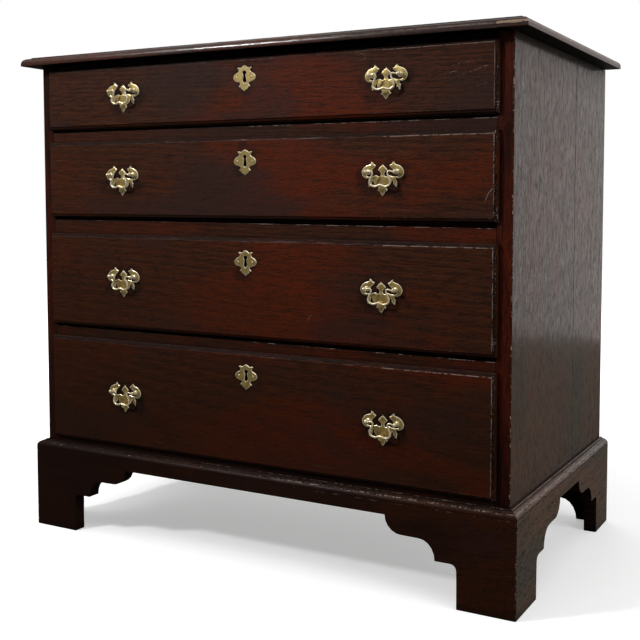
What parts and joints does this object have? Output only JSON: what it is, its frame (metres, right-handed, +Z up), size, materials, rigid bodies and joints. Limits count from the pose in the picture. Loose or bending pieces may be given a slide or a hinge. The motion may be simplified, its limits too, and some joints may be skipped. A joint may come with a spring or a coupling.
{
  "type": "chest of drawers",
  "caption": "Long-drawer oak chest on bracket feet, with lipped drawer fronts, brass plates with swinging bails, keyhole plates and working lock bolts.",
  "frame": {"origin": "on the floor under the middle of the chest's box", "axes": "+X to the right seen from the front, +Y to the back, +Z up; the drawers open towards -Y"},
  "size_m": [0.998, 0.546, 0.895],
  "materials": {
    "oak_front": "dark red-brown varnish, waxed",
    "oak_frame": "dark red-brown varnish, waxed",
    "oak_side": "dark brown varnish, glossy",
    "oak_inside": "bare, aged oak",
    "brass": "cast, filed edges, aged",
    "lock_iron": "old bright iron"
  },
  "bodies": {
    "carcass": {"top_board": "oak_frame", "side_left": "oak_side", "side_right": "oak_side", "back_panel": "oak_inside", "bottom_board": "oak_frame", "top_rail": "oak_frame", "divider_1": "oak_frame", "divider_2": "oak_frame", "divider_3": "oak_frame", "plinth_front": "oak_frame", "plinth_left": "oak_frame", "plinth_right": "oak_frame"},
    "drawer_1": {"drawer_1_front": "oak_front", "drawer_1_side_left": "oak_inside", "drawer_1_side_right": "oak_inside", "drawer_1_back": "oak_inside", "drawer_1_bottom": "oak_inside", "lock_case_1": "lock_iron", "escutcheon_1": "brass", "handle_1_left": "brass", "handle_1_right": "brass"},
    "lock_bolt_1": {"lock_bolt_1": "lock_iron"},
    "bail_1_left": {"bail_1_left": "brass"},
    "bail_1_right": {"bail_1_right": "brass"},
    "drawer_2": {"drawer_2_front": "oak_front", "drawer_2_side_left": "oak_inside", "drawer_2_side_right": "oak_inside", "drawer_2_back": "oak_inside", "drawer_2_bottom": "oak_inside", "lock_case_2": "lock_iron", "escutcheon_2": "brass", "handle_2_left": "brass", "handle_2_right": "brass"},
    "lock_bolt_2": {"lock_bolt_2": "lock_iron"},
    "bail_2_left": {"bail_2_left": "brass"},
    "bail_2_right": {"bail_2_right": "brass"},
    "drawer_3": {"drawer_3_front": "oak_front", "drawer_3_side_left": "oak_inside", "drawer_3_side_right": "oak_inside", "drawer_3_back": "oak_inside", "drawer_3_bottom": "oak_inside", "lock_case_3": "lock_iron", "escutcheon_3": "brass", "handle_3_left": "brass", "handle_3_right": "brass"},
    "lock_bolt_3": {"lock_bolt_3": "lock_iron"},
    "bail_3_left": {"bail_3_left": "brass"},
    "bail_3_right": {"bail_3_right": "brass"},
    "drawer_4": {"drawer_4_front": "oak_front", "drawer_4_side_left": "oak_inside", "drawer_4_side_right": "oak_inside", "drawer_4_back": "oak_inside", "drawer_4_bottom": "oak_inside", "lock_case_4": "lock_iron", "escutcheon_4": "brass", "handle_4_left": "brass", "handle_4_right": "brass"},
    "lock_bolt_4": {"lock_bolt_4": "lock_iron"},
    "bail_4_left": {"bail_4_left": "brass"},
    "bail_4_right": {"bail_4_right": "brass"}
  },
  "joints": [
    {"name": "drawer_1_slide", "type": "slide", "parent": "carcass", "child": "drawer_1", "axis": [0, -1, 0], "range_m": [0, 0.36]},
    {"name": "lock_bolt_1_throw", "type": "slide", "parent": "drawer_1", "child": "lock_bolt_1", "axis": [0, 0, 1], "range_m": [0, 0.008]},
    {"name": "bail_1_left_swing", "type": "hinge", "parent": "drawer_1", "child": "bail_1_left", "pos_m": [-0.263, -0.2679, 0.8225], "axis": [-1, 0, 0], "range_deg": [0, 95]},
    {"name": "bail_1_right_swing", "type": "hinge", "parent": "drawer_1", "child": "bail_1_right", "pos_m": [0.2648, -0.2679, 0.8225], "axis": [-1, 0, 0], "range_deg": [0, 95]},
    {"name": "drawer_2_slide", "type": "slide", "parent": "carcass", "child": "drawer_2", "axis": [0, -1, 0], "range_m": [0, 0.36]},
    {"name": "lock_bolt_2_throw", "type": "slide", "parent": "drawer_2", "child": "lock_bolt_2", "axis": [0, 0, 1], "range_m": [0, 0.008]},
    {"name": "bail_2_left_swing", "type": "hinge", "parent": "drawer_2", "child": "bail_2_left", "pos_m": [-0.2675, -0.2679, 0.673], "axis": [-1, 0, 0], "range_deg": [0, 95]},
    {"name": "bail_2_right_swing", "type": "hinge", "parent": "drawer_2", "child": "bail_2_right", "pos_m": [0.2594, -0.2679, 0.673], "axis": [-1, 0, 0], "range_deg": [0, 95]},
    {"name": "drawer_3_slide", "type": "slide", "parent": "carcass", "child": "drawer_3", "axis": [0, -1, 0], "range_m": [0, 0.36]},
    {"name": "lock_bolt_3_throw", "type": "slide", "parent": "drawer_3", "child": "lock_bolt_3", "axis": [0, 0, 1], "range_m": [0, 0.008]},
    {"name": "bail_3_left_swing", "type": "hinge", "parent": "drawer_3", "child": "bail_3_left", "pos_m": [-0.2675, -0.2679, 0.4888], "axis": [-1, 0, 0], "range_deg": [0, 95]},
    {"name": "bail_3_right_swing", "type": "hinge", "parent": "drawer_3", "child": "bail_3_right", "pos_m": [0.2575, -0.2679, 0.4888], "axis": [-1, 0, 0], "range_deg": [0, 95]},
    {"name": "drawer_4_slide", "type": "slide", "parent": "carcass", "child": "drawer_4", "axis": [0, -1, 0], "range_m": [0, 0.36]},
    {"name": "lock_bolt_4_throw", "type": "slide", "parent": "drawer_4", "child": "lock_bolt_4", "axis": [0, 0, 1], "range_m": [0, 0.008]},
    {"name": "bail_4_left_swing", "type": "hinge", "parent": "drawer_4", "child": "bail_4_left", "pos_m": [-0.2675, -0.2679, 0.2775], "axis": [-1, 0, 0], "range_deg": [0, 95]},
    {"name": "bail_4_right_swing", "type": "hinge", "parent": "drawer_4", "child": "bail_4_right", "pos_m": [0.261, -0.2679, 0.2775], "axis": [-1, 0, 0], "range_deg": [0, 95]}
  ]
}
